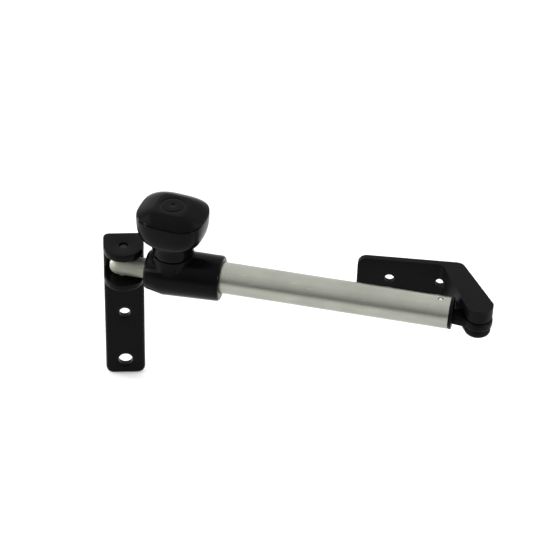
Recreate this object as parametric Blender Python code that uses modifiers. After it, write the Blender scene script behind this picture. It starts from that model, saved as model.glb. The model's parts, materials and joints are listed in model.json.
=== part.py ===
"""Telescoping friction stay for a camper window.

A moulded wall bracket carries an aluminium rod on a vertical pivot. The rod slides in a round
tube, and a clamp housing with a hand knob locks it. The tube's end plug pivots in a moulded
window bracket. Metres, +Z up, +Y into the wall. The origin is on the wall bracket's back face,
midway between its two screw holes.
"""

import bmesh
import bpy
from math import cos, pi, radians, sin
from mathutils import Matrix, Vector

MM = 0.001
GAP = 0.3 * MM

# Wall bracket
WALL_WIDTH = 20.6 * MM
WALL_THICK = 4.4 * MM
WALL_BOTTOM = -24.6 * MM
WALL_EDGE = 1.9 * MM
WALL_CORNER = 4.0 * MM
WALL_SCREW_Z = 16.0 * MM
WALL_SCREW_RADII = (2.9 * MM, 3.75 * MM)
COUNTERSINK_RADIUS = 6.2 * MM
COUNTERSINK_DEPTH = 1.5 * MM
PIVOT_DEPTH = 9.9 * MM
ARM_HEIGHT = 54.8 * MM
LUG_TOP = 11.3 * MM
LUG_UNDERSIDE = 7.2 * MM
LUG_EDGE = 0.9 * MM
LUG_CORNER = 3.0 * MM
DISH_RADIUS = 8.0 * MM
DISH_DEPTH = 0.6 * MM
POCKET_RADIUS = 7.6 * MM

# Pivot pins and bushes
PIN_RADIUS = 2.0 * MM
PIN_HOLE = PIN_RADIUS + GAP
PIN_FOOT_SINK = 0.5 * MM
PIN_HEAD_SINK = 1.4 * MM
BUSH_RADIUS = 3.0 * MM
BUSH_HOLE = BUSH_RADIUS + GAP
SPACER_RADIUS = 5.5 * MM
WASHER_RADIUS = 6.4 * MM
WASHER_THICK = 0.9 * MM

# Arm, measured along its own X from the wall pivot; Z = 0 is the outer tube's axis
ARM_YAW = radians(-15.9)
PIVOT_SPAN = 181.3 * MM
ROD_RADIUS = 5.2 * MM
ROD_DROP = 1.8 * MM
ROD_NOSE = 7.1 * MM
DOME_START = 1.2 * MM
DOME_POWER = 2.5
ROD_END = 146.0 * MM
ROD_BORE = 3.6 * MM
ROD_BORE_START = 14.0 * MM
GUIDE_HEAD = 2.2 * MM
GUIDE_STEM = 9.0 * MM
TUBE_RADIUS = 8.0 * MM
TUBE_BORE = 7.3 * MM
TUBE_START = 33.0 * MM
TUBE_END = 167.0 * MM

# Clamp housing
HOUSING_START = 12.2 * MM
HOUSING_END = 51.4 * MM
HOUSING_EDGE = 1.4 * MM
KNOB_PLACE = 25.7 * MM
BOSS_RADIUS = 10.9 * MM
BOSS_TOP = 11.8 * MM
NUT_RADIUS = 5.8 * MM
NUT_FLOOR = 7.0 * MM
PAD_RADIUS = 4.5 * MM
PAD_FOOT = 0.6 * MM
PAD_TOP = 5.4 * MM
WIPER_RADIUS = 7.0 * MM
WIPER_DEPTH = 2.8 * MM
RIVET_PLACE = 43.0 * MM
RIVET_RADIUS = 1.5 * MM
RIVET_FOOT = -12.3 * MM

# Knob, measured up from the tube's axis. As drawn it is turned a little from the arm's line.
KNOB_YAW = radians(-7.0)
STUD_RADIUS = 3.0 * MM
STUD_TOP = 29.5 * MM
STEM_RADIUS = 10.6 * MM
STEM_FOOT = BOSS_TOP + GAP
STEM_FLARE = 0.6 * MM
BOWL_FOOT = 21.2 * MM
SEAM_HEIGHT = 35.9 * MM
KNOB_TOP = 40.6 * MM
KNOB_LENGTH = 34.8 * MM
KNOB_WIDTH = 31.0 * MM
KNOB_SQUARENESS = 3.0
BOWL_START = 0.70
BOWL_ROUNDNESS = 2.6
RIM_RISE = 1.8 * MM
RIM_SHRINK = 0.09
FIELD_HALF = 8.8 * MM
FIELD_SQUARENESS = 5.0
INSERT_RADIUS = 4.9 * MM
INSERT_FOOT = 20.0 * MM
EMBLEM_RADIUS = 6.2 * MM
EMBLEM_WIDTH = 0.9 * MM
EMBLEM_DEPTH = 0.4 * MM
DIMPLE_RADIUS = 1.2 * MM

# End plug
PLUG_START = 150.0 * MM
PLUG_FLANGE = 1.3 * MM
PLUG_PIN_PLACE = 161.9 * MM
PLUG_PIN_RADIUS = 1.0 * MM
PLUG_PIN_FOOT = 3.3 * MM
TAB_RADIUS = 7.2 * MM
TAB_NECK = 3.7 * MM
TAB_LOW = -4.2 * MM
TAB_HIGH = 0.5 * MM
TAB_EDGE = 1.1 * MM

# Window bracket, measured from its own pivot: X along its plate, Y towards the window
WINDOW_YAW = radians(-9.4)
WINDOW_TOP = 8.6 * MM
WINDOW_LOW = -8.8 * MM
WINDOW_PLATE_LOW = -14.8 * MM
WINDOW_PLATE_BACK = 32.0 * MM
WINDOW_PLATE_THICK = 3.2 * MM
WINDOW_PLATE_LEFT = -62.2 * MM
WINDOW_CORNER = 4.5 * MM
WINDOW_EDGE = 1.4 * MM
WINDOW_OUTER_TURN = (-12.3 * MM, 4.5 * MM)
WINDOW_INNER_TURN = (-21.2 * MM, 3.0 * MM)
WINDOW_SCREW_X = (-45.7 * MM, -19.9 * MM)
WINDOW_SCREW_Z = -3.1 * MM
WINDOW_SCREW_RADIUS = 2.6 * MM
UPPER_LUG_RADIUS = 6.9 * MM
LOWER_LUG_RADIUS = 6.6 * MM
LOWER_LUG_EDGE = 1.7 * MM
LOWER_LUG_REACH = 14.0 * MM
WINDOW_ARM_TURN = radians(25.0)
WINDOW_PIN_COVER = 1.8 * MM
SLOT_TURN = radians(-11.7)
SLOT_BACK = TAB_RADIUS + 0.4 * MM

BLACK = (0.012, 0.012, 0.013)
SOFT_BLACK = (0.02, 0.02, 0.021)
ALUMINIUM = (0.62, 0.63, 0.60)
STEEL = (0.45, 0.45, 0.46)
BRASS = (0.60, 0.42, 0.16)
NYLON = (0.55, 0.54, 0.50)


def clear_scene():
    for item in list(bpy.data.objects):
        bpy.data.objects.remove(item, do_unlink=True)


def make_collection(name):
    collection = bpy.data.collections.new(name)
    bpy.context.scene.collection.children.link(collection)
    return collection


clear_scene()
parts = make_collection("friction_stay_hinge")
cutters = make_collection("cutters")


def make_axis(name, location, yaw=0.0, parent=None):
    """An empty on a joint's axis. The pieces that turn or slide there are its children."""
    empty = bpy.data.objects.new(name, None)
    empty.empty_display_size = 10 * MM
    empty.location = location
    empty.rotation_euler = (0.0, 0.0, yaw)
    empty.parent = parent
    parts.objects.link(empty)
    return empty


def make_material(name, colour, roughness, metallic=0.0):
    material = bpy.data.materials.new(name)
    material.use_nodes = True
    shader = material.node_tree.nodes["Principled BSDF"]
    shader.inputs["Base Color"].default_value = (*colour, 1.0)
    shader.inputs["Roughness"].default_value = roughness
    shader.inputs["Metallic"].default_value = metallic
    return material


def add_part(name, mesh, parent, material):
    part = bpy.data.objects.new(name, mesh)
    part.parent = parent
    part.data.materials.append(material)
    parts.objects.link(part)
    return part


def add_cutter(name, mesh, parent):
    cutter = bpy.data.objects.new(name, mesh)
    cutter.parent = parent
    cutter.hide_render = True
    cutter.display_type = "WIRE"
    cutters.objects.link(cutter)
    return cutter


def combine(part, other, operation):
    """Join, cut or intersect a part with another object, which stays as a guide."""
    boolean = part.modifiers.new(operation.title() + " " + other.name, "BOOLEAN")
    boolean.operation = operation
    boolean.solver = "EXACT"
    boolean.object = other


def round_edges(part, width, segments=2, angle=50.0):
    bevel = part.modifiers.new("Rounded edges", "BEVEL")
    bevel.width = width
    bevel.segments = segments
    bevel.limit_method = "ANGLE"
    bevel.angle_limit = radians(angle)


def smooth(mesh, angle=35.0):
    mesh.shade_smooth()
    mesh.set_sharp_from_angle(angle=radians(angle))


# Outlines and meshes

def arc(centre, radius, start, end, steps):
    """Points on an arc, with angles in degrees."""
    angles = [radians(start + (end - start) * step / steps) for step in range(steps + 1)]
    return [(centre[0] + radius * cos(a), centre[1] + radius * sin(a)) for a in angles]


def rounded_rectangle(left, right, low, high, radius, steps=5):
    return (arc((left + radius, low + radius), radius, 180, 270, steps)
            + arc((right - radius, low + radius), radius, 270, 360, steps)
            + arc((right - radius, high - radius), radius, 0, 90, steps)
            + arc((left + radius, high - radius), radius, 90, 180, steps))


def superellipse(half_length, half_width, power, steps=48):
    """A plan outline between an ellipse (power 2) and a rectangle (high power)."""
    points = []
    for step in range(steps):
        angle = 2 * pi * step / steps
        across, along = sin(angle), cos(angle)
        reach = (abs(along) ** power + abs(across) ** power) ** (-1 / power)
        points.append((half_length * reach * along, half_width * reach * across))
    return points


def prism(name, outline, low, high):
    """A mesh of a flat outline drawn in XY and raised from low to high."""
    curve = bpy.data.curves.new(name, "CURVE")
    curve.dimensions = "2D"
    curve.fill_mode = "BOTH"
    curve.extrude = (high - low) / 2
    spline = curve.splines.new("POLY")
    spline.points.add(len(outline) - 1)
    for point, (x, y) in zip(spline.points, outline):
        point.co = (x, y, 0.0, 1.0)
    spline.use_cyclic_u = True
    drawn = bpy.data.objects.new(name, curve)
    parts.objects.link(drawn)
    bpy.context.view_layer.update()
    evaluated = drawn.evaluated_get(bpy.context.evaluated_depsgraph_get())
    mesh = bpy.data.meshes.new_from_object(evaluated)
    bpy.data.objects.remove(drawn)
    bpy.data.curves.remove(curve)
    mesh.transform(Matrix.Translation((0.0, 0.0, (low + high) / 2)))
    edit = bmesh.new()
    edit.from_mesh(mesh)
    bmesh.ops.remove_doubles(edit, verts=edit.verts, dist=0.01 * MM)
    bmesh.ops.dissolve_limit(edit, angle_limit=radians(1), verts=edit.verts, edges=edit.edges)
    bmesh.ops.recalc_face_normals(edit, faces=edit.faces)
    edit.to_mesh(mesh)
    edit.free()
    smooth(mesh)
    return mesh


def upright(mesh):
    """Stand a prism up: its XY outline becomes XZ, and its height runs towards -Y."""
    mesh.transform(Matrix.Rotation(pi / 2, 4, "X"))
    return mesh


def lying(mesh):
    """Lay a turned or cylindrical mesh down, so that its +Z becomes +X."""
    mesh.transform(Matrix.Rotation(pi / 2, 4, "Y"))
    return mesh


def cylinder(name, radius, low, high, steps=32, top_radius=None):
    mesh = bpy.data.meshes.new(name)
    edit = bmesh.new()
    upper = radius if top_radius is None else top_radius
    bmesh.ops.create_cone(edit, cap_ends=True, segments=steps, radius1=radius, radius2=upper,
                          depth=high - low,
                          matrix=Matrix.Translation((0.0, 0.0, (low + high) / 2)))
    edit.to_mesh(mesh)
    edit.free()
    smooth(mesh)
    return mesh


def box(name, low, high):
    mesh = bpy.data.meshes.new(name)
    low, high = Vector(low), Vector(high)
    edit = bmesh.new()
    size = high - low
    place = Matrix.Translation((low + high) / 2) @ Matrix.Diagonal((*size, 1.0))
    bmesh.ops.create_cube(edit, size=1.0, matrix=place)
    edit.to_mesh(mesh)
    edit.free()
    return mesh


def moved(mesh, x=0.0, y=0.0, z=0.0):
    mesh.transform(Matrix.Translation((x, y, z)))
    return mesh


def turned(name, outline, closed, parent, material, steps=32, along_arm=False):
    """A turned piece from (radius, height) points, whose outer side runs from top to bottom."""
    mesh = bpy.data.meshes.new(name)
    count = len(outline)
    edges = [(i, i + 1) for i in range(count - 1)]
    if closed:
        edges.append((count - 1, 0))
    mesh.from_pydata([(radius, 0.0, height) for radius, height in outline], edges, [])
    part = add_part(name, mesh, parent, material)
    if along_arm:
        part.rotation_euler = (0.0, pi / 2, 0.0)
    screw = part.modifiers.new("Turn", "SCREW")
    screw.steps = steps
    screw.render_steps = steps
    screw.use_merge_vertices = True
    screw.merge_threshold = 0.01 * MM
    return part


def pin_outline(radius, low, high, edge=0.3 * MM):
    return [(0.0, high), (radius - edge, high), (radius, high - edge),
            (radius, low + edge), (radius - edge, low), (0.0, low)]


def ring_outline(inner, outer, low, high, edge=0.15 * MM):
    return [(inner, high), (outer - edge, high), (outer, high - edge),
            (outer, low + edge), (outer - edge, low), (inner, low)]


def loft(name, rings):
    """A closed skin over rings of equally many points, from the first ring to the last."""
    mesh = bpy.data.meshes.new(name)
    edit = bmesh.new()
    rows = [[edit.verts.new(point) for point in ring] for ring in rings]
    count = len(rows[0])
    for lower, upper in zip(rows, rows[1:]):
        for i in range(count):
            j = (i + 1) % count
            edit.faces.new((lower[i], lower[j], upper[j], upper[i]))
    edit.faces.new(reversed(rows[0]))
    edit.faces.new(rows[-1])
    bmesh.ops.recalc_face_normals(edit, faces=edit.faces)
    edit.to_mesh(mesh)
    edit.free()
    smooth(mesh)
    return mesh


# Wall bracket and its pivot

def lug_outline():
    """The lug's plan: a straight back with rounded corners and a half-round front."""
    half = WALL_WIDTH / 2
    corner = LUG_CORNER
    return (arc((0.0, -PIVOT_DEPTH), half, 180, 360, 18)
            + arc((half - corner, -corner), corner, 0, 90, 4)
            + arc((-half + corner, -corner), corner, 90, 180, 4))


def add_wall_bracket():
    half = WALL_WIDTH / 2
    top = ARM_HEIGHT + LUG_TOP
    plate_outline = rounded_rectangle(-half, half, WALL_BOTTOM, top - LUG_EDGE, WALL_CORNER)
    plate = upright(prism("wall_bracket", plate_outline, 0.0, WALL_THICK))
    bracket = add_part("wall_bracket", plate, None, make_material("wall_black", BLACK, 0.28))
    round_edges(bracket, WALL_EDGE, segments=3)
    for side in (-1, 1):
        levels = sorted((side * LUG_UNDERSIDE, side * LUG_TOP))
        lug = prism("lug", lug_outline(), ARM_HEIGHT + levels[0], ARM_HEIGHT + levels[1])
        lug_guide = add_cutter("wall_lug", lug, None)
        round_edges(lug_guide, LUG_EDGE, segments=2)
        combine(bracket, lug_guide, "UNION")
    pocket = moved(cylinder("pocket", POCKET_RADIUS, ARM_HEIGHT - LUG_UNDERSIDE,
                            ARM_HEIGHT + LUG_UNDERSIDE), y=-PIVOT_DEPTH)
    combine(bracket, add_cutter("wall_pocket", pocket, None), "DIFFERENCE")
    bore = moved(cylinder("bore", PIN_HOLE, ARM_HEIGHT - 2 * LUG_TOP, ARM_HEIGHT + 2 * LUG_TOP),
                 y=-PIVOT_DEPTH)
    combine(bracket, add_cutter("wall_pin_bore", bore, None), "DIFFERENCE")
    slope = (DISH_RADIUS - PIN_RADIUS) / DISH_DEPTH
    dish = moved(cylinder("dish", PIN_RADIUS, top - DISH_DEPTH, top + DISH_DEPTH, 40,
                          DISH_RADIUS + slope * DISH_DEPTH), y=-PIVOT_DEPTH)
    combine(bracket, add_cutter("wall_lug_dish", dish, None), "DIFFERENCE")
    for place, radius in zip((WALL_SCREW_Z, -WALL_SCREW_Z), WALL_SCREW_RADII):
        hole = moved(upright(cylinder("hole", radius, -WALL_THICK, 2 * WALL_THICK)), z=place)
        combine(bracket, add_cutter("wall_screw_hole", hole, None), "DIFFERENCE")
        floor = WALL_THICK - COUNTERSINK_DEPTH
        slope = (COUNTERSINK_RADIUS - radius) / COUNTERSINK_DEPTH
        beyond = 0.5 * MM
        sink = cylinder("sink", radius, floor, WALL_THICK + beyond,
                        top_radius=COUNTERSINK_RADIUS + slope * beyond)
        sink = moved(upright(sink), z=place)
        combine(bracket, add_cutter("wall_countersink", sink, None), "DIFFERENCE")
    return bracket


def add_wall_pivot():
    """The pin through the lugs stays with the bracket. It is set down in the upper lug."""
    pivot = make_axis("wall_pivot_axis", (0.0, -PIVOT_DEPTH, ARM_HEIGHT))
    steel = make_material("pin_steel", STEEL, 0.35, 1.0)
    outline = pin_outline(PIN_RADIUS, -LUG_TOP + PIN_FOOT_SINK, LUG_TOP - PIN_HEAD_SINK)
    turned("wall_pivot_pin", outline, False, pivot, steel, steps=24)


# Rod

def add_inner_rod(arm):
    """A round rod with a domed end about the pivot pin. Its far end is drilled out."""
    radius = ROD_RADIUS
    edge = 0.4 * MM
    outline = [(0.0, ROD_BORE_START), (ROD_BORE, ROD_BORE_START), (ROD_BORE, ROD_END),
               (radius - edge, ROD_END), (radius, ROD_END - edge)]
    rod = turned("inner_rod", outline + rod_dome(), False, arm,
                 make_material("rod_aluminium", ALUMINIUM, 0.3, 1.0), steps=40, along_arm=True)
    rod.location = (0.0, 0.0, -ROD_DROP)
    bore = add_cutter("rod_pin_bore", cylinder("bore", BUSH_HOLE, -3 * radius, 3 * radius, 24), arm)
    combine(rod, bore, "DIFFERENCE")


def rod_dome(steps=8):
    """Radius and height along the rod's domed end, which is blunter than a half ball."""
    blunt = 2 / DOME_POWER
    length = ROD_NOSE - DOME_START
    angles = [pi / 2 * step / steps for step in range(steps + 1)]
    return [(ROD_RADIUS * cos(a) ** blunt, -DOME_START - length * sin(a) ** blunt)
            for a in angles[:-1]] + [(0.0, -ROD_NOSE)]


def add_rod_fittings(arm):
    low = -ROD_DROP - ROD_RADIUS
    high = -ROD_DROP + ROD_RADIUS
    bronze = make_material("bush_bronze", BRASS, 0.45, 1.0)
    turned("rod_bush", ring_outline(PIN_HOLE, BUSH_RADIUS, low + GAP, high - GAP), True, arm,
           bronze, steps=24)
    nylon = make_material("spacer_black", SOFT_BLACK, 0.5)
    spacer = ring_outline(PIN_HOLE, SPACER_RADIUS, high + GAP, LUG_UNDERSIDE - GAP)
    turned("rod_spacer", spacer, True, arm, nylon, steps=28)
    stem = ROD_BORE - GAP
    head_start = ROD_END + GAP
    head_end = ROD_END + GUIDE_HEAD
    stem_end = ROD_END - GUIDE_STEM
    edge = 0.5 * MM
    guide_outline = [(0.0, head_end), (ROD_RADIUS - edge, head_end),
                     (ROD_RADIUS, head_end - edge), (ROD_RADIUS, head_start),
                     (stem, head_start), (stem, stem_end), (0.0, stem_end)]
    guide = turned("rod_guide", guide_outline, False, arm,
                   make_material("guide_nylon", NYLON, 0.5), steps=28, along_arm=True)
    guide.location = (0.0, 0.0, -ROD_DROP)


# Tube, housing and clamp

def add_outer_tube(arm):
    outline = ring_outline(TUBE_BORE, TUBE_RADIUS, TUBE_START, TUBE_END, edge=0.2 * MM)
    tube = turned("outer_tube", outline, True, arm,
                  make_material("tube_aluminium", ALUMINIUM, 0.27, 1.0), steps=56,
                  along_arm=True)
    rivet = moved(cylinder("hole", RIVET_RADIUS + GAP, -2 * TUBE_RADIUS, -TUBE_RADIUS / 2, 16),
                  x=RIVET_PLACE)
    combine(tube, add_cutter("tube_rivet_hole", rivet, arm), "DIFFERENCE")
    pin = moved(cylinder("hole", PLUG_PIN_RADIUS + GAP, TUBE_RADIUS / 2, 2 * TUBE_RADIUS, 16),
                x=PLUG_PIN_PLACE)
    combine(tube, add_cutter("tube_plug_hole", pin, arm), "DIFFERENCE")


def housing_stations():
    """The sleeve's sections: place along the arm, radius, and drop below the tube's axis."""
    return ((HOUSING_START, 9.8 * MM, 1.9 * MM), (22.0 * MM, 12.1 * MM, 1.6 * MM),
            (28.0 * MM, 12.0 * MM, 1.4 * MM), (HOUSING_END, 11.6 * MM, 0.8 * MM))


def sleeve_rings(steps=48):
    rings = []
    for place, radius, drop in housing_stations():
        rings.append([(place, radius * sin(2 * pi * i / steps),
                       radius * cos(2 * pi * i / steps) - drop) for i in range(steps)])
    return rings


def add_clamp_housing(arm):
    """A sleeve round the rod and tube, with a boss under the knob for the nut and the pad."""
    housing = add_part("clamp_housing", loft("clamp_housing", sleeve_rings()), arm,
                       make_material("housing_black", BLACK, 0.3))
    round_edges(housing, HOUSING_EDGE, segments=3, angle=60.0)
    boss = add_cutter("boss", moved(cylinder("boss", BOSS_RADIUS, 0.0, BOSS_TOP, 48),
                                    x=KNOB_PLACE), arm)
    round_edges(boss, 0.6 * MM, segments=2)
    combine(housing, boss, "UNION")
    cuts = {
        "rod_bore": moved(lying(cylinder("bore", ROD_RADIUS + GAP, 0.0, TUBE_START, 40)),
                          z=-ROD_DROP),
        "wiper_bore": moved(lying(cylinder("bore", WIPER_RADIUS + GAP, 0.0,
                                           HOUSING_START + WIPER_DEPTH + 2 * GAP, 40)),
                            z=-ROD_DROP),
        "tube_bore": lying(cylinder("bore", TUBE_RADIUS + GAP, TUBE_START - GAP,
                                    2 * HOUSING_END, 48)),
        "pad_bore": moved(cylinder("bore", PAD_RADIUS + GAP, 0.0, BOSS_TOP), x=KNOB_PLACE),
        "nut_bore": moved(cylinder("bore", NUT_RADIUS + GAP, NUT_FLOOR, 2 * BOSS_TOP),
                          x=KNOB_PLACE),
        "rivet_bore": moved(cylinder("bore", RIVET_RADIUS + GAP, -2 * TUBE_RADIUS, 0.0, 16),
                            x=RIVET_PLACE),
    }
    for name, mesh in cuts.items():
        combine(housing, add_cutter("housing_" + name, mesh, arm), "DIFFERENCE")


def add_housing_fittings(arm):
    rubber = make_material("wiper_rubber", SOFT_BLACK, 0.7)
    wiper_start = HOUSING_START + GAP
    outline = ring_outline(ROD_RADIUS + GAP, WIPER_RADIUS, wiper_start, wiper_start + WIPER_DEPTH)
    wiper = turned("rod_wiper", outline, True, arm, rubber, steps=32, along_arm=True)
    wiper.location = (0.0, 0.0, -ROD_DROP)
    rivet = turned("tube_rivet", pin_outline(RIVET_RADIUS, RIVET_FOOT, -TUBE_BORE), False, arm,
                   make_material("rivet_steel", STEEL, 0.4, 1.0), steps=16)
    rivet.location = (RIVET_PLACE, 0.0, 0.0)
    brass = make_material("nut_brass", BRASS, 0.35, 1.0)
    nut_outline = ring_outline(STUD_RADIUS + GAP, NUT_RADIUS, NUT_FLOOR + GAP, BOSS_TOP - GAP)
    nut = turned("clamp_nut", nut_outline, True, arm, brass, steps=28)
    nut.location = (KNOB_PLACE, 0.0, 0.0)


def add_pressure_pad(pad_axis):
    """The pad between the stud and the rod, hollowed to fit the rod."""
    pad_mesh = cylinder("pressure_pad", PAD_RADIUS, PAD_FOOT, PAD_TOP, 28)
    pad = add_part("pressure_pad", pad_mesh, pad_axis, make_material("pad_nylon", NYLON, 0.5))
    saddle = moved(lying(cylinder("saddle", ROD_RADIUS + GAP, -TUBE_RADIUS, TUBE_RADIUS, 40)),
                   z=-ROD_DROP)
    combine(pad, add_cutter("pad_saddle", saddle, pad_axis), "DIFFERENCE")


def knob_ring(height, half_length, half_width, power):
    return [(x, y, height) for x, y in superellipse(half_length, half_width, power)]


def bowl_rings(steps=9):
    """Rings of the knob's bowl: quickly wider at its foot, upright at the seam."""
    low, high = BOWL_FOOT, SEAM_HEIGHT - GAP / 2
    rings = []
    for step in range(steps + 1):
        rise = (step / steps) ** 1.5
        spread = (1 - (1 - rise) ** BOWL_ROUNDNESS) ** (1 / BOWL_ROUNDNESS)
        share = BOWL_START + (1 - BOWL_START) * spread
        power = 2.0 + (KNOB_SQUARENESS - 2.0) * spread
        rings.append(knob_ring(low + (high - low) * rise, share * KNOB_LENGTH / 2,
                               (share + 0.1 * (1 - spread)) * KNOB_WIDTH / 2, power))
    return rings


def add_knob_body(knob_axis):
    """A stem that widens into a bowl. The bowl's plan grows from round to a soft rectangle."""
    stem = [knob_ring(height, STEM_RADIUS, STEM_RADIUS, 2.0)
            for height in (STEM_FOOT, BOWL_FOOT - STEM_FLARE)]
    knob = add_part("knob_body", loft("knob_body", stem + bowl_rings()), knob_axis,
                    make_material("knob_black", BLACK, 0.25))
    bore = cylinder("bore", STUD_RADIUS + GAP, 0.0, STUD_TOP + GAP, 24)
    combine(knob, add_cutter("knob_stud_bore", bore, knob_axis), "DIFFERENCE")
    pocket = cylinder("pocket", INSERT_RADIUS + GAP, INSERT_FOOT - GAP, STUD_TOP + GAP, 24)
    combine(knob, add_cutter("knob_insert_pocket", pocket, knob_axis), "DIFFERENCE")


def cap_rings(steps=4):
    """Rings of the cap: a rounded rim, a slope inwards and the flat field's edge."""
    half_length, half_width = KNOB_LENGTH / 2, KNOB_WIDTH / 2
    rings = []
    for step in range(steps + 1):
        angle = pi / 2 * step / steps
        share = 1 - RIM_SHRINK * (1 - cos(angle))
        rings.append(knob_ring(SEAM_HEIGHT + GAP / 2 + RIM_RISE * sin(angle),
                               share * half_length, share * half_width, KNOB_SQUARENESS))
    rim = 1 - RIM_SHRINK
    shoulder = KNOB_TOP - 1.2 * MM
    rings.append(knob_ring(shoulder, (rim * half_length + FIELD_HALF) / 2,
                           (rim * half_width + FIELD_HALF) / 2, 4.0))
    for sink, inset in ((0.1 * MM, 0.0), (0.0, 0.8 * MM)):
        half = FIELD_HALF - inset
        rings.append(knob_ring(KNOB_TOP - sink, half, half, FIELD_SQUARENESS))
    return rings


def add_knob_cap(knob_axis):
    """The crowned top, with a plain ring and a dimple sunk in its flat field."""
    cap = add_part("knob_cap", loft("knob_cap", cap_rings()), knob_axis,
                   make_material("cap_black", BLACK, 0.22))
    groove = add_cutter("cap_groove", groove_mesh(), knob_axis)
    combine(cap, groove, "DIFFERENCE")
    dimple = cylinder("dimple", DIMPLE_RADIUS, KNOB_TOP - EMBLEM_DEPTH, KNOB_TOP + MM, 20)
    combine(cap, add_cutter("cap_dimple", dimple, knob_axis), "DIFFERENCE")


def groove_mesh():
    """A flat ring that cuts the emblem's round groove."""
    mesh = cylinder("groove", EMBLEM_RADIUS, KNOB_TOP - EMBLEM_DEPTH, KNOB_TOP + MM, 40)
    edit = bmesh.new()
    edit.from_mesh(mesh)
    caps = [face for face in edit.faces if abs(face.normal.z) > 0.9]
    inset = bmesh.ops.inset_region(edit, faces=caps, thickness=EMBLEM_WIDTH,
                                   use_even_offset=True)
    inner = [face for face in caps if face.is_valid and face not in inset["faces"]]
    loops = [edge for face in inner for edge in face.edges]
    bmesh.ops.delete(edit, geom=inner, context="FACES_ONLY")
    bmesh.ops.bridge_loops(edit, edges=loops)
    bmesh.ops.recalc_face_normals(edit, faces=edit.faces)
    edit.to_mesh(mesh)
    edit.free()
    return mesh


def add_knob_fittings(knob_axis):
    steel = make_material("stud_steel", STEEL, 0.3, 1.0)
    stud = pin_outline(STUD_RADIUS, PAD_TOP + GAP, STUD_TOP, edge=0.6 * MM)
    turned("clamp_stud", stud, False, knob_axis, steel, steps=24)
    insert = ring_outline(STUD_RADIUS + GAP, INSERT_RADIUS, INSERT_FOOT, STUD_TOP)
    turned("knob_insert", insert, True, knob_axis,
           make_material("insert_brass", BRASS, 0.35, 1.0), steps=24)


def add_end_plug(arm):
    """The plug in the tube's end, with its flange and the flat tab on the window pivot."""
    flange_start = TUBE_END + GAP
    flange_end = flange_start + PLUG_FLANGE
    edge = 0.2 * MM
    shank = TUBE_BORE - GAP
    outline = [(0.0, flange_end), (TUBE_RADIUS - edge, flange_end),
               (TUBE_RADIUS, flange_end - edge), (TUBE_RADIUS, flange_start),
               (shank, flange_start), (shank, PLUG_START + edge), (shank - edge, PLUG_START),
               (0.0, PLUG_START)]
    plug = turned("end_plug", outline, False, arm, make_material("plug_black", BLACK, 0.35),
                  steps=48, along_arm=True)
    root = flange_end - PLUG_FLANGE / 2
    tab_outline = (arc((PIVOT_SPAN, 0.0), TAB_RADIUS, -140, 140, 20)
                   + [(root, TAB_NECK), (root, -TAB_NECK)])
    tab_mesh = prism("tab", tab_outline, TAB_LOW, TAB_HIGH)
    tab = add_cutter("plug_tab", tab_mesh, arm)
    round_edges(tab, TAB_EDGE, segments=3)
    combine(plug, tab, "UNION")
    bore = moved(cylinder("bore", BUSH_HOLE, 2 * TAB_LOW, TUBE_RADIUS, 24), x=PIVOT_SPAN)
    combine(plug, add_cutter("plug_pivot_bore", bore, arm), "DIFFERENCE")
    hole = moved(cylinder("hole", PLUG_PIN_RADIUS + GAP, PLUG_PIN_FOOT - GAP, 2 * TUBE_RADIUS, 16),
                 x=PLUG_PIN_PLACE)
    combine(plug, add_cutter("plug_pin_hole", hole, arm), "DIFFERENCE")


def add_plug_fittings(arm):
    pin = turned("plug_pin", pin_outline(PLUG_PIN_RADIUS, PLUG_PIN_FOOT, TUBE_RADIUS), False, arm,
                 make_material("plug_pin_steel", STEEL, 0.4, 1.0), steps=16)
    pin.location = (PLUG_PIN_PLACE, 0.0, 0.0)
    bush_outline = ring_outline(PIN_HOLE, BUSH_RADIUS, TAB_LOW, TAB_HIGH)
    bush = turned("plug_bush", bush_outline, True, arm,
                  make_material("plug_bush_bronze", BRASS, 0.45, 1.0), steps=24)
    bush.location = (PIVOT_SPAN, 0.0, 0.0)


# Window bracket

def window_plan():
    """The bracket seen from above: the plate, the slanting arm and the round knuckle."""
    back = WINDOW_PLATE_BACK
    front = back - WINDOW_PLATE_THICK
    left = WINDOW_PLATE_LEFT - WINDOW_CORNER
    outer_x, outer_radius = WINDOW_OUTER_TURN
    inner_x, inner_radius = WINDOW_INNER_TURN
    knuckle = arc((0.0, 0.0), UPPER_LUG_RADIUS, 205, 370, 18)
    outer = arc((outer_x, back - outer_radius), outer_radius, 25, 90, 5)
    inner = arc((inner_x, front - inner_radius), inner_radius, 90, 20, 4)
    return knuckle + outer + [(left, back), (left, front)] + inner


def lower_lug_outline():
    """A tongue that runs from the slanting arm to a round end about the pivot."""
    radius = LOWER_LUG_RADIUS
    root = radius - GAP
    return arc((0.0, 0.0), radius, 180, 360, 18) + [(root, LOWER_LUG_REACH),
                                                     (-root, LOWER_LUG_REACH)]


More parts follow.
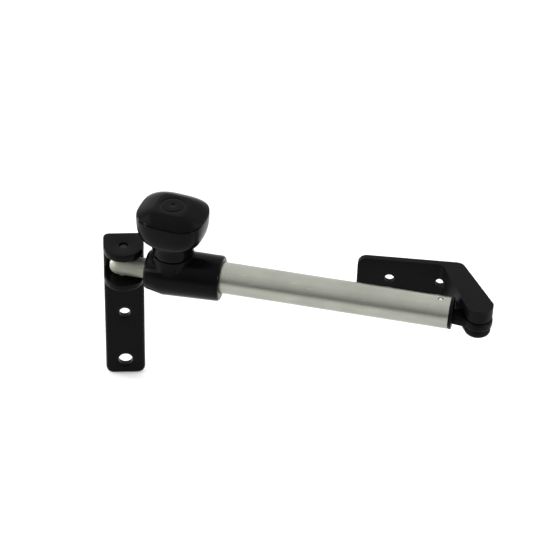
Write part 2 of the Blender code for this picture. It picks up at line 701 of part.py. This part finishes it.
def add_window_bracket(window_axis):
    front = WINDOW_PLATE_BACK - WINDOW_PLATE_THICK
    bracket_mesh = prism("window_bracket", window_plan(), WINDOW_PLATE_LOW, WINDOW_TOP)
    bracket = add_part("window_bracket", bracket_mesh, window_axis,
                       make_material("window_black", BLACK, 0.3))
    outline = rounded_rectangle(WINDOW_PLATE_LEFT, -WINDOW_PLATE_LEFT, WINDOW_PLATE_LOW,
                                WINDOW_TOP, WINDOW_CORNER)
    face = upright(prism("face", outline, -2 * WINDOW_PLATE_BACK, 2 * WINDOW_PLATE_BACK))
    combine(bracket, add_cutter("window_face", face, window_axis), "INTERSECT")
    beyond = 2 * UPPER_LUG_RADIUS
    below_mesh = box("below", (-3 * beyond, -beyond, 2 * WINDOW_PLATE_LOW),
                     (beyond, front - GAP, WINDOW_LOW + WINDOW_EDGE))
    combine(bracket, add_cutter("window_below_arm", below_mesh, window_axis), "DIFFERENCE")
    slot_mesh = box("slot", (-3 * beyond, -beyond, 2 * WINDOW_PLATE_LOW),
                    (beyond, SLOT_BACK, TAB_HIGH + WASHER_THICK + 2 * GAP))
    slot = add_cutter("window_slot", slot_mesh, window_axis)
    slot.rotation_euler = (0.0, 0.0, SLOT_TURN)
    combine(bracket, slot, "DIFFERENCE")
    round_edges(bracket, WINDOW_EDGE, segments=3)
    lug = add_cutter("window_lower_lug", prism("lug", lower_lug_outline(), WINDOW_LOW,
                                               TAB_LOW - GAP), window_axis)
    lug.rotation_euler = (0.0, 0.0, WINDOW_ARM_TURN)
    round_edges(lug, LOWER_LUG_EDGE, segments=3)
    combine(bracket, lug, "UNION")
    bore = cylinder("bore", PIN_HOLE, 2 * WINDOW_LOW, WINDOW_TOP - WINDOW_PIN_COVER, 24)
    combine(bracket, add_cutter("window_pin_bore", bore, window_axis), "DIFFERENCE")
    for place in WINDOW_SCREW_X:
        hole = moved(upright(cylinder("hole", WINDOW_SCREW_RADIUS, -2 * WINDOW_PLATE_THICK,
                                      2 * WINDOW_PLATE_THICK, 28)),
                     x=place, y=WINDOW_PLATE_BACK, z=WINDOW_SCREW_Z)
        combine(bracket, add_cutter("window_screw_hole", hole, window_axis), "DIFFERENCE")


def add_window_fittings(window_axis):
    pin = pin_outline(PIN_RADIUS, WINDOW_LOW + PIN_FOOT_SINK, WINDOW_TOP - WINDOW_PIN_COVER - GAP)
    turned("window_pivot_pin", pin, False, window_axis,
           make_material("window_pin_steel", STEEL, 0.35, 1.0), steps=24)
    low = TAB_HIGH + GAP
    washer = ring_outline(PIN_HOLE, WASHER_RADIUS, low, low + WASHER_THICK)
    turned("window_washer", washer, True, window_axis,
           make_material("washer_black", SOFT_BLACK, 0.5), steps=32)


def build():
    add_wall_bracket()
    add_wall_pivot()
    arm = make_axis("arm_axis", (0.0, -PIVOT_DEPTH, ARM_HEIGHT), ARM_YAW)
    add_inner_rod(arm)
    add_rod_fittings(arm)
    add_outer_tube(arm)
    add_clamp_housing(arm)
    add_housing_fittings(arm)
    add_end_plug(arm)
    add_plug_fittings(arm)
    pad_axis = make_axis("pad_axis", (KNOB_PLACE, 0.0, 0.0), parent=arm)
    add_pressure_pad(pad_axis)
    knob_axis = make_axis("knob_axis", (0.0, 0.0, 0.0), KNOB_YAW, pad_axis)
    add_knob_body(knob_axis)
    add_knob_cap(knob_axis)
    add_knob_fittings(knob_axis)
    window_axis = make_axis("window_axis", (PIVOT_SPAN, 0.0, 0.0), WINDOW_YAW - ARM_YAW, arm)
    add_window_bracket(window_axis)
    add_window_fittings(window_axis)


build()
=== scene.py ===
"""Looks for the telescoping friction stay: finishes, knob mouldings, studio and camera."""

import bmesh
import bpy
import json
from math import atan2, cos, pi, radians, sin
from mathutils import Matrix, Vector

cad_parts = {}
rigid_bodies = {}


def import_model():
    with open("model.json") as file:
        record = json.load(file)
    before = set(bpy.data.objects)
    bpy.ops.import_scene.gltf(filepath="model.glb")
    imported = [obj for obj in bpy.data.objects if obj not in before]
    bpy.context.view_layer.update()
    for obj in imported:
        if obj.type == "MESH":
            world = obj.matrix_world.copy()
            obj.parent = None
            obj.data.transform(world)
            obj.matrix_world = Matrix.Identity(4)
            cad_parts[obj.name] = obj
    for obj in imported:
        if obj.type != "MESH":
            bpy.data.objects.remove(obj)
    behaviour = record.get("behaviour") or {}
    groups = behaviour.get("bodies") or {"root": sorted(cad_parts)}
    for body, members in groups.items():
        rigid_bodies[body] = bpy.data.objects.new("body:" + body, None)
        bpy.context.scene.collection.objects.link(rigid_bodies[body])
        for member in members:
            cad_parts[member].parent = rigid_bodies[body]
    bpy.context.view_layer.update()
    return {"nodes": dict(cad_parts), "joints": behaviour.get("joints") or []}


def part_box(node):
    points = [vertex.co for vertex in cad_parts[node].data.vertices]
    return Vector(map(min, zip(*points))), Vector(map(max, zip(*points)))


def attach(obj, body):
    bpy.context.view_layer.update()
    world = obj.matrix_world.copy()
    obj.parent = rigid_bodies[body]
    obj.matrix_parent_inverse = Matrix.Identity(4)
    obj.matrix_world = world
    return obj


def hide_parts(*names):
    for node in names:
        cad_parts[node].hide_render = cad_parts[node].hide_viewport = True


for item in list(bpy.data.objects):
    bpy.data.objects.remove(item, do_unlink=True)
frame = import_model()

MM = 0.001
NODES = frame["nodes"]
JOINTS = {joint["name"]: joint for joint in frame["joints"]}
ARM_AXIS = Vector(JOINTS["telescope"]["axis"])
ARM_YAW = atan2(ARM_AXIS.y, ARM_AXIS.x)

# The knob is drawn about its screw's axis, in its own turned frame, with heights from the
# tube's axis. A plan's squareness is its superellipse's power.
KNOB_CENTRE = Vector(JOINTS["knob_turn"]["pos_m"])
KNOB_YAW = ARM_YAW + radians(-7.0)
KNOB_LENGTH = 34.7 * MM
KNOB_WIDTH = 30.9 * MM
KNOB_SQUARENESS = 3.0
ROUND = 2.0
STEM_RADIUS = 10.6 * MM
BORE_RADIUS = 3.3 * MM
POCKET_RADIUS = 5.2 * MM
BOWL_FOOT_LENGTH = 0.70 * KNOB_LENGTH
BOWL_FOOT_WIDTH = 0.80 * KNOB_WIDTH
FIELD_HALF = 8.8 * MM
FIELD_SQUARENESS = 5.0
GROOVE_RADIUS = 5.75 * MM
GROOVE_DEPTH = 0.36 * MM
DIMPLE_RADIUS = 1.5 * MM
DIMPLE_DEPTH = 0.42 * MM
PLAN_STEPS = 64

# How the CAD nodes' surfaces are cleaned and their edges rounded
WELD_DISTANCE = 0.005 * MM
FLAT_ANGLE = radians(0.6)
CREASE_ANGLE = radians(32.0)
BEVEL_ANGLE = radians(40.0)
EDGE_RADIUS = {"wall_bracket": 0.3 * MM, "clamp_housing": 0.25 * MM, "window_bracket": 0.25 * MM,
               "end_plug": 0.12 * MM}

# Finishes. The low specular level keeps the plastic's blacks deep, and worn edges are duller
PLASTIC_SPECULAR = 0.05
WEAR_REACH = 0.5 * MM
WEAR_ROUGHNESS = 0.25
WORN_PLASTIC = (0.012, 0.012, 0.012)
SCRATCHED_METAL = (0.5, 0.5, 0.48)

# Studio, in metres and watts
FLOOR_HALF_SIZE = 3.0
FLOOR_CENTRE = (0.08, 0.3)
FLOOR_DROP = 0.2 * MM
FLOOR_TONE = (0.86, 0.86, 0.86)
FLOOR_TOOTH = (0.88, 0.88, 0.88)
# Painted shade: the floor's colour greys to this tone well in front of the stay, standing in for
# dimmer light there
FLOOR_FRONT_PAINTED_SHADE = (0.58, 0.58, 0.58)
FLOOR_SHADE_START = -0.16
FLOOR_SHADE_END = -0.55
STUDIO_CENTRE = (0.08, -0.03, 0.04)
LAMP = (0.10, 0.10)
SOFTBOX = (0.7, 0.7)

# Camera: where it looks, and from how far, which side, how high and how tilted
CAMERA_TARGET = Vector((78.74, -20.83, 49.89)) * MM
CAMERA_DISTANCE = 1.1141
CAMERA_AZIMUTH = radians(5.09)
CAMERA_ELEVATION = radians(38.51)
CAMERA_ROLL = radians(2.1)
CAMERA_LENS = 141.43
CAMERA_SENSOR = 36.0


# Node trees

def add_node(tree, kind, inputs=None, **settings):
    """A new node. Each input is a value or another node's output socket."""
    node = tree.nodes.new(kind)
    for key, value in settings.items():
        setattr(node, key, value)
    for key, value in (inputs or {}).items():
        if isinstance(value, bpy.types.NodeSocket):
            tree.links.new(value, node.inputs[key])
        else:
            node.inputs[key].default_value = value
    return node


# Mesh helpers

def between(first, last, share):
    """The value a share of the way from first to last."""
    return first + (last - first) * share


def superellipse(half_length, half_width, power):
    """A plan outline between an ellipse (power 2) and a rectangle (high power)."""
    points = []
    for step in range(PLAN_STEPS):
        angle = 2 * pi * step / PLAN_STEPS
        across, along = sin(angle), cos(angle)
        reach = (abs(along) ** power + abs(across) ** power) ** (-1 / power)
        points.append((half_length * reach * along, half_width * reach * across))
    return points


def skin(name, rings, closed=False):
    """A quad skin over rings of (half length, half width, power, height).

    A closed skin joins its last ring to its first. An open one has a cap on each end.
    """
    mesh = bpy.data.meshes.new(name)
    edit = bmesh.new()
    rows = []
    for half_length, half_width, power, height in rings:
        outline = superellipse(half_length, half_width, power)
        rows.append([edit.verts.new((x, y, height)) for x, y in outline])
    pairs = list(zip(rows, rows[1:]))
    if closed:
        pairs.append((rows[-1], rows[0]))
    for lower, upper in pairs:
        for i in range(PLAN_STEPS):
            j = (i + 1) % PLAN_STEPS
            edit.faces.new((lower[i], lower[j], upper[j], upper[i]))
    if not closed:
        edit.faces.new(reversed(rows[0]))
        edit.faces.new(rows[-1])
    bmesh.ops.recalc_face_normals(edit, faces=edit.faces)
    edit.to_mesh(mesh)
    edit.free()
    mesh.shade_smooth()
    return mesh


def add_piece(name, mesh, material, place):
    """A smooth new piece, with its place moved into its mesh."""
    mesh.transform(place)
    mesh.materials.append(material)
    piece = bpy.data.objects.new(name, mesh)
    bpy.context.scene.collection.objects.link(piece)
    modifier = piece.modifiers.new("Subdivision", "SUBSURF")
    modifier.levels = 1
    modifier.render_levels = 1
    return piece


def smooth_group():
    """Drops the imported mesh's own normals and keeps only its real edges sharp."""
    group = bpy.data.node_groups.new("Smooth by angle", "GeometryNodeTree")
    group.interface.new_socket("Geometry", in_out="INPUT", socket_type="NodeSocketGeometry")
    group.interface.new_socket("Geometry", in_out="OUTPUT", socket_type="NodeSocketGeometry")
    entry = group.nodes.new("NodeGroupInput")
    leave = group.nodes.new("NodeGroupOutput")
    forget = add_node(group, "GeometryNodeRemoveAttribute",
                      {"Geometry": entry.outputs[0], "Name": "custom_normal"})
    faces = add_node(group, "GeometryNodeSetShadeSmooth",
                     {"Geometry": forget.outputs[0], "Shade Smooth": True}, domain="FACE")
    angle = group.nodes.new("GeometryNodeInputMeshEdgeAngle")
    sharp = add_node(group, "FunctionNodeCompare",
                     {"A": angle.outputs["Unsigned Angle"], "B": CREASE_ANGLE},
                     data_type="FLOAT", operation="GREATER_THAN")
    edges = add_node(group, "GeometryNodeSetShadeSmooth",
                     {"Geometry": faces.outputs[0], "Selection": sharp.outputs[0],
                      "Shade Smooth": False}, domain="EDGE")
    group.links.new(edges.outputs[0], leave.inputs[0])
    return group


def soften_edges(node, radius):
    """Merge a node's flat faces, and round its sharp edges by a small radius."""
    flat = node.modifiers.new("Merge flat faces", "DECIMATE")
    flat.decimate_type = "DISSOLVE"
    flat.angle_limit = FLAT_ANGLE
    bevel = node.modifiers.new("Moulded edges", "BEVEL")
    bevel.width = radius
    bevel.segments = 2
    bevel.limit_method = "ANGLE"
    bevel.angle_limit = BEVEL_ANGLE
    bevel.use_clamp_overlap = True
    bevel.miter_outer = "MITER_ARC"


def dress(name, material, smoothing):
    """Give a CAD node its finish, weld its split corners, and smooth it."""
    node = NODES[name]
    node.data.materials.clear()
    node.data.materials.append(material)
    weld = node.modifiers.new("Weld", "WELD")
    weld.merge_threshold = WELD_DISTANCE
    if name in EDGE_RADIUS:
        soften_edges(node, EDGE_RADIUS[name])
    smooth = node.modifiers.new("Smooth by angle", "NODES")
    smooth.node_group = smoothing
    normals = node.modifiers.new("Weighted normals", "WEIGHTED_NORMAL")
    normals.keep_sharp = True


# Material helpers

def start_material(name):
    """A new material with its node tree and its Principled shader."""
    material = bpy.data.materials.new(name)
    material.use_nodes = True
    tree = material.node_tree
    return material, tree, tree.nodes["Principled BSDF"]


def darken(colour, share):
    return tuple(part * share for part in colour)


def object_place(tree, stretch=(1.0, 1.0, 1.0)):
    """Object coordinates in metres, turned so that X runs along the arm, then stretched."""
    coordinates = tree.nodes.new("ShaderNodeTexCoord")
    turned = add_node(tree, "ShaderNodeMapping",
                      {"Vector": coordinates.outputs["Object"], "Rotation": (0.0, 0.0, -ARM_YAW)})
    scaled = add_node(tree, "ShaderNodeMapping", {"Vector": turned.outputs[0], "Scale": stretch})
    return scaled.outputs[0]


def noise(tree, place, scale, detail=3.0, roughness=0.5):
    """A noise texture's value, from 0 to 1 and mostly near the middle."""
    found = add_node(tree, "ShaderNodeTexNoise",
                     {"Vector": place, "Scale": scale, "Detail": detail, "Roughness": roughness})
    return found.outputs["Fac"]


def spread(tree, value, low, high, start=0.3, end=0.7):
    """Maps the middle of a noise, start to end, to the range low to high."""
    found = add_node(tree, "ShaderNodeMapRange",
                     {"Value": value, "From Min": start, "From Max": end,
                      "To Min": low, "To Max": high})
    return found.outputs[0]


def calculate(tree, operation, first, second):
    """Adds or multiplies two values or sockets."""
    return add_node(tree, "ShaderNodeMath", {0: first, 1: second}, operation=operation).outputs[0]


def blend_colours(tree, share, first, second):
    """From the first colour to the second, each a plain colour or a socket, by share."""
    found = add_node(tree, "ShaderNodeMix", data_type="RGBA")
    tree.links.new(share, found.inputs[0])
    for socket, value in ((found.inputs[6], first), (found.inputs[7], second)):
        if isinstance(value, bpy.types.NodeSocket):
            tree.links.new(value, socket)
        else:
            socket.default_value = (*value, 1.0)
    return found.outputs[2]


def edge_mask(tree, radius):
    """High within the radius of an edge, where the rounded normal leaves the face's own."""
    rounded = add_node(tree, "ShaderNodeBevel", {"Radius": radius}, samples=6)
    flat = tree.nodes.new("ShaderNodeNewGeometry")
    both = add_node(tree, "ShaderNodeVectorMath",
                    {0: rounded.outputs[0], 1: flat.outputs["Normal"]}, operation="DOT_PRODUCT")
    return spread(tree, both.outputs["Value"], 1.0, 0.0, start=0.90, end=0.995)


def bump(tree, height, distance, strength=1.0, under=None):
    """A normal with the height added to it, over an earlier bump's normal where one is given."""
    inputs = {"Height": height, "Distance": distance, "Strength": strength}
    if under is not None:
        inputs["Normal"] = under
    return add_node(tree, "ShaderNodeBump", inputs).outputs[0]


# Materials

def black_plastic(name, gloss, grain, tone=0.0018):
    """Moulded black plastic: mould grain, faint flow marks, handling marks and rubbed edges."""
    material, tree, shader = start_material(name)
    place = object_place(tree)
    flow = noise(tree, object_place(tree, stretch=(1.0, 1.0, 0.25)), scale=55.0, detail=4.0)
    fine = noise(tree, place, scale=2600.0, detail=2.0)
    handled = noise(tree, place, scale=190.0, detail=5.0, roughness=0.65)
    rubbed = spread(tree, handled, 0.0, 0.5, start=0.42, end=0.62)
    edges = calculate(tree, "MULTIPLY", edge_mask(tree, WEAR_REACH), rubbed)
    base = blend_colours(tree, flow, (tone * 0.7, tone * 0.7, tone * 0.72),
                         (tone * 1.3, tone * 1.3, tone * 1.3))
    base = blend_colours(tree, edges, base, WORN_PLASTIC)
    tree.links.new(base, shader.inputs["Base Color"])
    rough = calculate(tree, "ADD", spread(tree, handled, gloss - 0.03, gloss + 0.05),
                      spread(tree, fine, -0.02, 0.03))
    rough = calculate(tree, "ADD", rough, calculate(tree, "MULTIPLY", edges, WEAR_ROUGHNESS))
    tree.links.new(rough, shader.inputs["Roughness"])
    normal = bump(tree, fine, distance=grain)
    normal = bump(tree, flow, distance=0.10 * MM, strength=0.35, under=normal)
    tree.links.new(normal, shader.inputs["Normal"])
    shader.inputs["Specular IOR Level"].default_value = PLASTIC_SPECULAR
    return material


def drawn_aluminium(name, colour, gloss, metallic=1.0):
    """Drawn and anodised aluminium: die lines along the arm, faint haze and fine scratches."""
    material, tree, shader = start_material(name)
    lines = noise(tree, object_place(tree, stretch=(0.02, 1.0, 1.0)),
                  scale=3200.0, detail=3.0, roughness=0.7)
    wide = noise(tree, object_place(tree, stretch=(0.05, 1.0, 1.0)), scale=420.0, detail=2.0)
    haze = noise(tree, object_place(tree), scale=70.0, detail=4.0, roughness=0.6)
    marks = noise(tree, object_place(tree, stretch=(0.12, 1.0, 1.0)), scale=900.0, detail=1.0)
    scratches = spread(tree, marks, 0.0, 0.3, start=0.70, end=0.74)
    base = blend_colours(tree, spread(tree, haze, 0.0, 1.0), colour, darken(colour, 0.86))
    base = blend_colours(tree, scratches, base, SCRATCHED_METAL)
    tree.links.new(base, shader.inputs["Base Color"])
    rough = calculate(tree, "ADD", spread(tree, lines, gloss - 0.05, gloss + 0.06),
                      spread(tree, haze, -0.03, 0.05))
    tree.links.new(rough, shader.inputs["Roughness"])
    normal = bump(tree, lines, distance=0.004 * MM, strength=0.5)
    normal = bump(tree, wide, distance=0.012 * MM, strength=0.4, under=normal)
    tree.links.new(normal, shader.inputs["Normal"])
    shader.inputs["Metallic"].default_value = metallic
    return material


def turned_metal(name, colour, gloss):
    """Turned steel, brass or bronze: fine tool marks round the upright axis, and some tarnish."""
    material, tree, shader = start_material(name)
    marks = noise(tree, object_place(tree, stretch=(0.15, 0.15, 1.0)), scale=5200.0, detail=2.0)
    tarnish = noise(tree, object_place(tree), scale=320.0, detail=5.0, roughness=0.6)
    base = blend_colours(tree, spread(tree, tarnish, 0.0, 1.0, start=0.4, end=0.75),
                         colour, darken(colour, 0.62))
    tree.links.new(base, shader.inputs["Base Color"])
    rough = calculate(tree, "ADD", spread(tree, marks, gloss - 0.05, gloss + 0.08),
                      spread(tree, tarnish, 0.0, 0.14))
    tree.links.new(rough, shader.inputs["Roughness"])
    normal = bump(tree, marks, distance=0.01 * MM, strength=0.5)
    tree.links.new(normal, shader.inputs["Normal"])
    shader.inputs["Metallic"].default_value = 1.0
    return material


def soft_moulding(name, colour, gloss, grain):
    """Nylon or rubber: a mottled satin face with fine grain."""
    material, tree, shader = start_material(name)
    mottle = noise(tree, object_place(tree), scale=260.0, detail=4.0, roughness=0.6)
    fine = noise(tree, object_place(tree), scale=3000.0, detail=2.0)
    base = blend_colours(tree, spread(tree, mottle, 0.0, 1.0), colour, darken(colour, 0.75))
    tree.links.new(base, shader.inputs["Base Color"])
    tree.links.new(spread(tree, mottle, gloss - 0.06, gloss + 0.08), shader.inputs["Roughness"])
    tree.links.new(bump(tree, fine, distance=grain), shader.inputs["Normal"])
    shader.inputs["Specular IOR Level"].default_value = 0.4
    return material


# Knob

def turned_rings(profile):
    """Round rings from a profile of (radius, height) points."""
    return [(radius, radius, ROUND, height) for radius, height in profile]


def bowl_rings(foot, rim):
    """The bowl's outside, from its nearly round foot out to the squarer plan at its rim.

    The rings crowd towards the foot, where a full, superelliptic flare turns fastest.
    """
    steps = 14
    crowding = 1.5
    fullness = 2.6
    rings = []
    for step in range(steps + 1):
        rise = (step / steps) ** crowding
        flare = (1 - (1 - rise) ** fullness) ** (1 / fullness)
        rings.append((between(BOWL_FOOT_LENGTH, KNOB_LENGTH, flare) / 2,
                      between(BOWL_FOOT_WIDTH, KNOB_WIDTH, flare) / 2,
                      between(ROUND, KNOB_SQUARENESS, flare),
                      between(foot, rim, rise)))
    return rings


def knob_bowl_rings():
    """The knob's stem and bowl outside, then its pocket and bore inside, as one closed skin."""
    low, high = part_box("knob_body")
    foot, seam = low.z - KNOB_CENTRE.z, high.z - KNOB_CENTRE.z
    pocket_floor = foot + 7.6 * MM
    stem = turned_rings([
        (STEM_RADIUS - 0.5 * MM, foot),
        (STEM_RADIUS - 0.15 * MM, foot + 0.1 * MM),
        (STEM_RADIUS, foot + 0.5 * MM),
        (STEM_RADIUS, foot + 4.5 * MM),
        (STEM_RADIUS, foot + 8.2 * MM)])
    bowl = bowl_rings(foot + 9.1 * MM, seam - 0.5 * MM)
    rim = []
    for inset, drop in ((0.06 * MM, 0.14 * MM), (0.25 * MM, 0.0), (1.2 * MM, 0.0)):
        rim.append((KNOB_LENGTH / 2 - inset, KNOB_WIDTH / 2 - inset, KNOB_SQUARENESS, seam - drop))
    pocket_and_bore = turned_rings([
        (POCKET_RADIUS + 0.5 * MM, seam),
        (POCKET_RADIUS, seam - 0.3 * MM),
        (POCKET_RADIUS, pocket_floor + 0.3 * MM),
        (POCKET_RADIUS - 0.3 * MM, pocket_floor),
        (BORE_RADIUS + 0.3 * MM, pocket_floor),
        (BORE_RADIUS, pocket_floor - 0.3 * MM),
        (BORE_RADIUS, foot + 0.4 * MM),
        (BORE_RADIUS + 0.4 * MM, foot)])
    return stem + bowl + rim + pocket_and_bore


def shoulder_rings(foot, crest):
    """The cap's slightly crowned shoulder, from the knob's full plan in to the square field."""
    steps = 9
    rings = []
    for step in range(steps):
        share = step / steps
        rings.append((between(KNOB_LENGTH / 2, FIELD_HALF, share),
                      between(KNOB_WIDTH / 2, FIELD_HALF, share),
                      between(KNOB_SQUARENESS, FIELD_SQUARENESS, share ** 2),
                      between(foot, crest, 1.5 * share - 0.5 * share ** 2)))
    return rings


def groove_rings(top):
    """The ring groove in the field: its outer side, then the same side mirrored."""
    side = [(0.75 * MM, 0.0), (0.45 * MM, 0.08 * MM), (0.25 * MM, GROOVE_DEPTH)]
    outer = [(GROOVE_RADIUS + reach, top - depth) for reach, depth in side]
    inner = [(GROOVE_RADIUS - reach, top - depth) for reach, depth in reversed(side)]
    return turned_rings(outer + inner)


def knob_top_rings():
    """The knob's cap: flat underside, rounded rim, shoulder, square field, groove and dimple."""
    low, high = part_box("knob_cap")
    seam, top = low.z - KNOB_CENTRE.z, high.z - KNOB_CENTRE.z
    rim = []
    for inset, squareness, rise in ((6.0 * MM, 2.4, 0.0), (0.5 * MM, KNOB_SQUARENESS, 0.0),
                                    (0.12 * MM, KNOB_SQUARENESS, 0.08 * MM)):
        rim.append((KNOB_LENGTH / 2 - inset, KNOB_WIDTH / 2 - inset, squareness, seam + rise))
    shoulder = shoulder_rings(seam + 0.5 * MM, top - 0.2 * MM)
    field = []
    for half, squareness, drop in ((FIELD_HALF, FIELD_SQUARENESS, 0.12 * MM),
                                   (FIELD_HALF - 0.5 * MM, 4.6, 0.0),
                                   (FIELD_HALF - 1.5 * MM, 2.2, 0.0)):
        field.append((half, half, squareness, top - drop))
    dimple = turned_rings([
        (DIMPLE_RADIUS + 1.7 * MM, top),
        (DIMPLE_RADIUS, top),
        (DIMPLE_RADIUS - 0.3 * MM, top - 0.10 * MM),
        (DIMPLE_RADIUS - 0.6 * MM, top - 0.36 * MM),
        (DIMPLE_RADIUS - 1.2 * MM, top - DIMPLE_DEPTH)])
    return rim + shoulder + field + groove_rings(top) + dimple


def add_knob(material):
    """The knob's two mouldings, smooth, in place of its two CAD nodes."""
    place = Matrix.Translation(KNOB_CENTRE) @ Matrix.Rotation(KNOB_YAW, 4, "Z")
    bowl = add_piece("knob_bowl", skin("knob_bowl", knob_bowl_rings(), closed=True),
                     material, place)
    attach(bowl, "knob")
    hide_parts("knob_body")
    top = add_piece("knob_top", skin("knob_top", knob_top_rings()), material, place)
    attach(top, "knob")
    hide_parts("knob_cap")


# Finishes of the CAD nodes

def plastic_finishes():
    """Each black moulding with its own plastic: the brackets, the housing, the plug, the spacers."""
    bracket = black_plastic("bracket plastic", gloss=0.21, grain=0.008 * MM)
    arm = black_plastic("window bracket plastic", gloss=0.46, grain=0.022 * MM, tone=0.0032)
    housing = black_plastic("housing plastic", gloss=0.22, grain=0.008 * MM)
    plug = black_plastic("plug plastic", gloss=0.40, grain=0.015 * MM)
    spacer = black_plastic("spacer plastic", gloss=0.45, grain=0.015 * MM, tone=0.0045)
    return {"wall_bracket": bracket, "window_bracket": arm, "clamp_housing": housing,
            "end_plug": plug, "rod_spacer": spacer, "window_washer": spacer}


def metal_finishes():
    """The drawn tube and rod, and the turned pins, bushes, nut and insert."""
    tube = drawn_aluminium("tube aluminium", (0.335, 0.342, 0.298), gloss=0.31)
    rod = drawn_aluminium("rod aluminium", (0.21, 0.215, 0.178), gloss=0.50, metallic=0.55)
    steel = turned_metal("pin steel", (0.55, 0.55, 0.56), gloss=0.32)
    blackened = turned_metal("blackened steel", (0.035, 0.035, 0.038), gloss=0.42)
    bronze = turned_metal("bush bronze", (0.58, 0.40, 0.20), gloss=0.45)
    brass = turned_metal("thread brass", (0.76, 0.58, 0.26), gloss=0.32)
    return {"outer_tube": tube, "inner_rod": rod, "tube_rivet": steel, "plug_pin": steel,
            "clamp_stud": steel, "wall_pivot_pin": blackened, "window_pivot_pin": blackened,
            "rod_bush": bronze, "plug_bush": bronze, "clamp_nut": brass, "knob_insert": brass}


def soft_finishes():
    """The nylon guide and pad, and the rubber wiper."""
    nylon = soft_moulding("natural nylon", (0.70, 0.68, 0.62), gloss=0.45, grain=0.010 * MM)
    rubber = soft_moulding("wiper rubber", (0.022, 0.022, 0.022), gloss=0.72, grain=0.03 * MM)
    return {"rod_guide": nylon, "pressure_pad": nylon, "rod_wiper": rubber}


def dress_nodes():
    """Give every CAD node that stays visible its finish."""
    smoothing = smooth_group()
    for finishes in (plastic_finishes(), metal_finishes(), soft_finishes()):
        for name, material in finishes.items():
            dress(name, material, smoothing)


# Studio

def add_floor():
    """A plain pale floor under the bracket's foot, a little greyer well in front of it: painted
    shade for the dimmer light there.
    """
    low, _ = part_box("wall_bracket")
    mesh = bpy.data.meshes.new("floor")
    edit = bmesh.new()
    bmesh.ops.create_grid(edit, x_segments=2, y_segments=2, size=FLOOR_HALF_SIZE,
                          matrix=Matrix.Translation((*FLOOR_CENTRE, low.z - FLOOR_DROP)))
    edit.to_mesh(mesh)
    edit.free()
    material, tree, shader = start_material("floor paper")
    tooth = noise(tree, object_place(tree), scale=700.0, detail=3.0)
    near = blend_colours(tree, tooth, FLOOR_TONE, FLOOR_TOOTH)
    coordinates = tree.nodes.new("ShaderNodeTexCoord")
    parts = add_node(tree, "ShaderNodeSeparateXYZ", {"Vector": coordinates.outputs["Object"]})
    # Painted shade: the floor's colour greys towards the front, as if less light fell there
    front = spread(tree, parts.outputs["Y"], 1.0, 0.0,
                   start=FLOOR_SHADE_END, end=FLOOR_SHADE_START)
    tone = blend_colours(tree, front, near, FLOOR_FRONT_PAINTED_SHADE)
    tree.links.new(tone, shader.inputs["Base Color"])
    shader.inputs["Roughness"].default_value = 0.9
    shader.inputs["Specular IOR Level"].default_value = 0.1
    floor = bpy.data.objects.new("floor", mesh)
    bpy.context.scene.collection.objects.link(floor)
    mesh.materials.append(material)


def add_light(name, place, size, power):
    """A square lamp or softbox at a place, turned to the stay."""
    light = bpy.data.lights.new(name, "AREA")
    light.shape = "RECTANGLE"
    light.size, light.size_y = size
    light.energy = power
    item = bpy.data.objects.new(name, light)
    bpy.context.scene.collection.objects.link(item)
    item.location = place
    ahead = Vector(STUDIO_CENTRE) - Vector(place)
    item.rotation_euler = ahead.to_track_quat("-Z", "Y").to_euler()


def add_world():
    """A soft tent: bright above and behind, dark low down in front."""
    world = bpy.data.worlds.new("tent")
    bpy.context.scene.world = world
    world.use_nodes = True
    tree = world.node_tree
    background = tree.nodes["Background"]
    place = tree.nodes.new("ShaderNodeTexCoord")
    parts = add_node(tree, "ShaderNodeSeparateXYZ", {"Vector": place.outputs["Generated"]})
    above = spread(tree, parts.outputs["Z"], 0.0, 0.8, start=0.05, end=0.85)
    behind = spread(tree, parts.outputs["Y"], 0.0, 0.9, start=-0.2, end=0.7)
    both = calculate(tree, "ADD", above, behind)
    strength = spread(tree, both, 0.15, 1.35, start=0.0, end=1.0)
    tree.links.new(strength, background.inputs["Strength"])
    background.inputs["Color"].default_value = (1.0, 1.0, 1.0, 1.0)


def add_studio():
    """Small lamps for the glints and the tube's bright bands, and softboxes over both sides."""
    add_world()
    add_light("left lamp", (-0.90, -0.35, 0.33), LAMP, power=5.5)
    add_light("back left lamp", (-0.90, 0.38, 0.12), LAMP, power=8.0)
    add_light("right lamp", (0.85, -0.68, 0.42), LAMP, power=5.0)
    add_light("left softbox", (-0.90, 0.10, 0.90), SOFTBOX, power=2.4)
    add_light("right softbox", (1.10, 0.10, 0.90), SOFTBOX, power=2.4)


def add_camera():
    """The main view: 38.5 degrees down, from slightly left, on a long lens."""
    flat = cos(CAMERA_ELEVATION)
    ahead = Vector((sin(CAMERA_AZIMUTH) * flat, cos(CAMERA_AZIMUTH) * flat,
                    -sin(CAMERA_ELEVATION)))
    right = Vector((cos(CAMERA_AZIMUTH), -sin(CAMERA_AZIMUTH), 0.0))
    up = right.cross(ahead)
    across = right * cos(CAMERA_ROLL) + up * sin(CAMERA_ROLL)
    upward = up * cos(CAMERA_ROLL) - right * sin(CAMERA_ROLL)
    turn = Matrix((across, upward, -ahead)).transposed().to_4x4()
    data = bpy.data.cameras.new("camera")
    data.sensor_width = CAMERA_SENSOR
    data.lens = CAMERA_LENS
    data.clip_end = 20.0
    camera = bpy.data.objects.new("camera", data)
    bpy.context.scene.collection.objects.link(camera)
    camera.matrix_world = Matrix.Translation(CAMERA_TARGET - ahead * CAMERA_DISTANCE) @ turn
    bpy.context.scene.camera = camera


dress_nodes()
add_knob(black_plastic("knob plastic", gloss=0.16, grain=0.005 * MM))
add_floor()
add_studio()
add_camera()
bpy.context.scene.view_settings.view_transform = "Standard"
